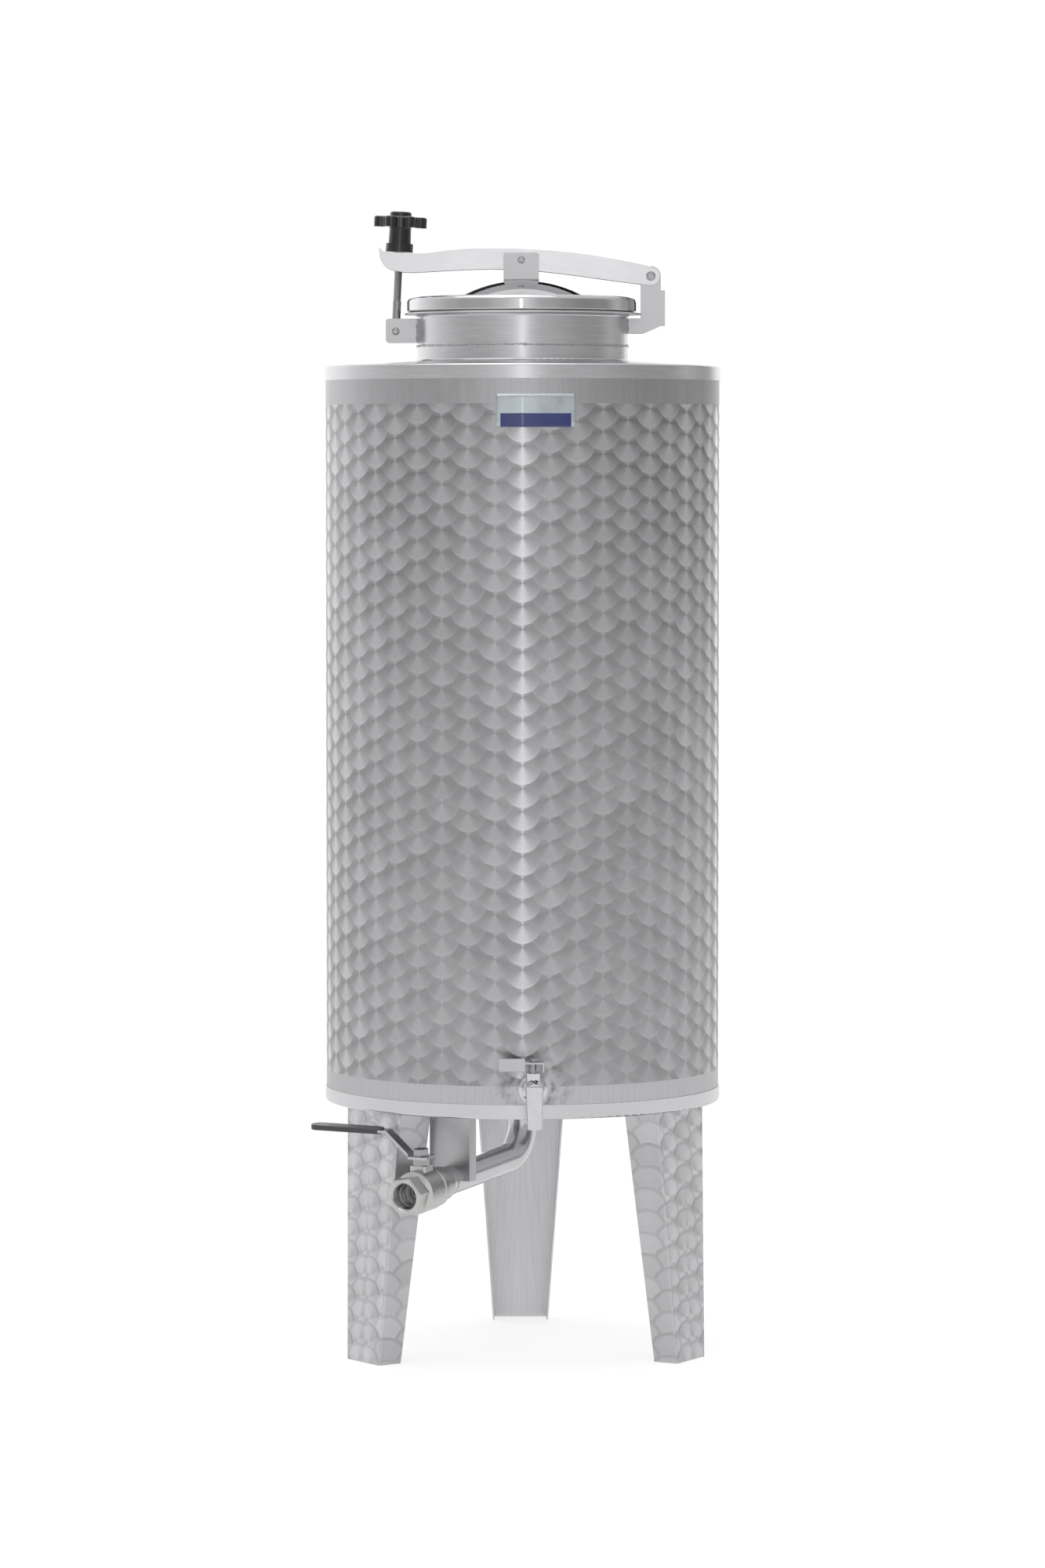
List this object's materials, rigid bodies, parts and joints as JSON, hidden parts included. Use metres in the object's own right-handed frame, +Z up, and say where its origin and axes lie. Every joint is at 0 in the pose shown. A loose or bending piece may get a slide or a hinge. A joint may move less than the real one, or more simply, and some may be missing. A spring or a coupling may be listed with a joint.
{
  "type": "wine storage tank",
  "caption": "Upright stainless wine tank on folded legs, with a clamped manhole lid, a bottom drain with a ball valve and a front sampling tap.",
  "frame": {"origin": "on the floor, on the tank's vertical axis", "axes": "+Z up along the tank's axis, -Y to the front with the sampling tap, +X to the lid hinge"},
  "size_m": [0.4831, 0.5362, 1.3536],
  "materials": {
    "circle_polished_steel": "stainless sheet ground in overlapping circles",
    "circle_polished_leg": "stainless sheet ground in overlapping circles, plain inside",
    "brushed_sheet": "stainless sheet, fine brushed",
    "mirror_steel": "mirror polished stainless",
    "silicone": "pale silicone",
    "brushed_plate": "stainless plate, lightly brushed",
    "pin_steel": "turned stainless",
    "polished_channel": "stainless channel, polished",
    "bolt_steel": "cold-headed stainless",
    "black_plastic": "black moulded plastic, glossy",
    "brass": "turned brass",
    "polished_pipe": "drawn stainless tube, polished",
    "cast_valve_steel": "investment-cast stainless, tumbled",
    "ptfe": "white PTFE",
    "pressed_lever_steel": "pressed stainless strip",
    "grey_vinyl": "dark grey dipped vinyl",
    "polished_tap": "polished cast stainless"
  },
  "bodies": {
    "root": {"shell": "circle_polished_steel", "top_cover": "brushed_sheet", "neck": "brushed_sheet", "bottom_dish": "brushed_sheet", "leg_front_right": "circle_polished_leg", "leg_rear": "circle_polished_leg", "leg_front_left": "circle_polished_leg", "hinge_pin": "pin_steel", "hinge_bracket": "brushed_plate", "clevis_bracket": "brushed_plate", "clevis_pin": "pin_steel", "drain_pipe": "polished_pipe", "drain_nipple": "polished_pipe", "pipe_support": "brushed_plate", "valve_body": "cast_valve_steel", "valve_end": "cast_valve_steel", "valve_seats": "ptfe", "gland_nut": "bolt_steel", "tap_socket": "polished_pipe", "tap_body": "polished_tap", "tap_seats": "ptfe"},
    "clamp": {"clamp_arm": "polished_channel"},
    "lid_assembly": {"lid": "mirror_steel", "lid_gasket": "silicone", "lid_bridge": "brushed_plate", "bridge_pin": "pin_steel"},
    "star_knob": {"knob": "black_plastic", "knob_cap": "black_plastic", "knob_insert": "brass"},
    "bolt": {"swing_bolt": "bolt_steel"},
    "drain_lever": {"valve_lever": "pressed_lever_steel", "lever_sleeve": "grey_vinyl", "lever_nut": "bolt_steel", "valve_stem": "bolt_steel", "valve_ball": "mirror_steel"},
    "tap_handle": {"tap_lever": "pressed_lever_steel", "tap_nut": "bolt_steel", "tap_stem": "bolt_steel", "tap_ball": "mirror_steel"}
  },
  "joints": [
    {"name": "lid_open", "type": "hinge", "parent": "root", "child": "clamp", "pos_m": [0.152, 0, 1.2766], "axis": [0, 1, 0], "range_deg": [0, 105]},
    {"name": "lid_tilt", "type": "hinge", "parent": "clamp", "child": "lid_assembly", "pos_m": [-0.0015, 0, 1.2957], "axis": [0, 1, 0], "range_deg": [-5.3, 0]},
    {"name": "knob_turn", "type": "hinge", "parent": "clamp", "child": "star_knob", "pos_m": [-0.14625, 0, 1.3052], "axis": [0.0454, 0, 0.999], "continuous": true},
    {"name": "bolt_swing", "type": "hinge", "parent": "root", "child": "bolt", "pos_m": [-0.1505, 0, 1.2116], "axis": [0, -1, 0], "range_deg": [0, 110]},
    {"name": "drain_lever_turn", "type": "hinge", "parent": "root", "child": "drain_lever", "pos_m": [-0.116, -0.20092, 0.21173], "axis": [-0.041, -0.071, 0.9966], "range_deg": [0, 90]},
    {"name": "tap_lever_turn", "type": "hinge", "parent": "root", "child": "tap_handle", "pos_m": [0.01244, -0.26371, 0.335], "axis": [0, 0, 1], "range_deg": [0, 90]}
  ],
  "couplings": [
    {"joint": "lid_tilt", "follows": "lid_open", "ratio": -0.05}
  ]
}
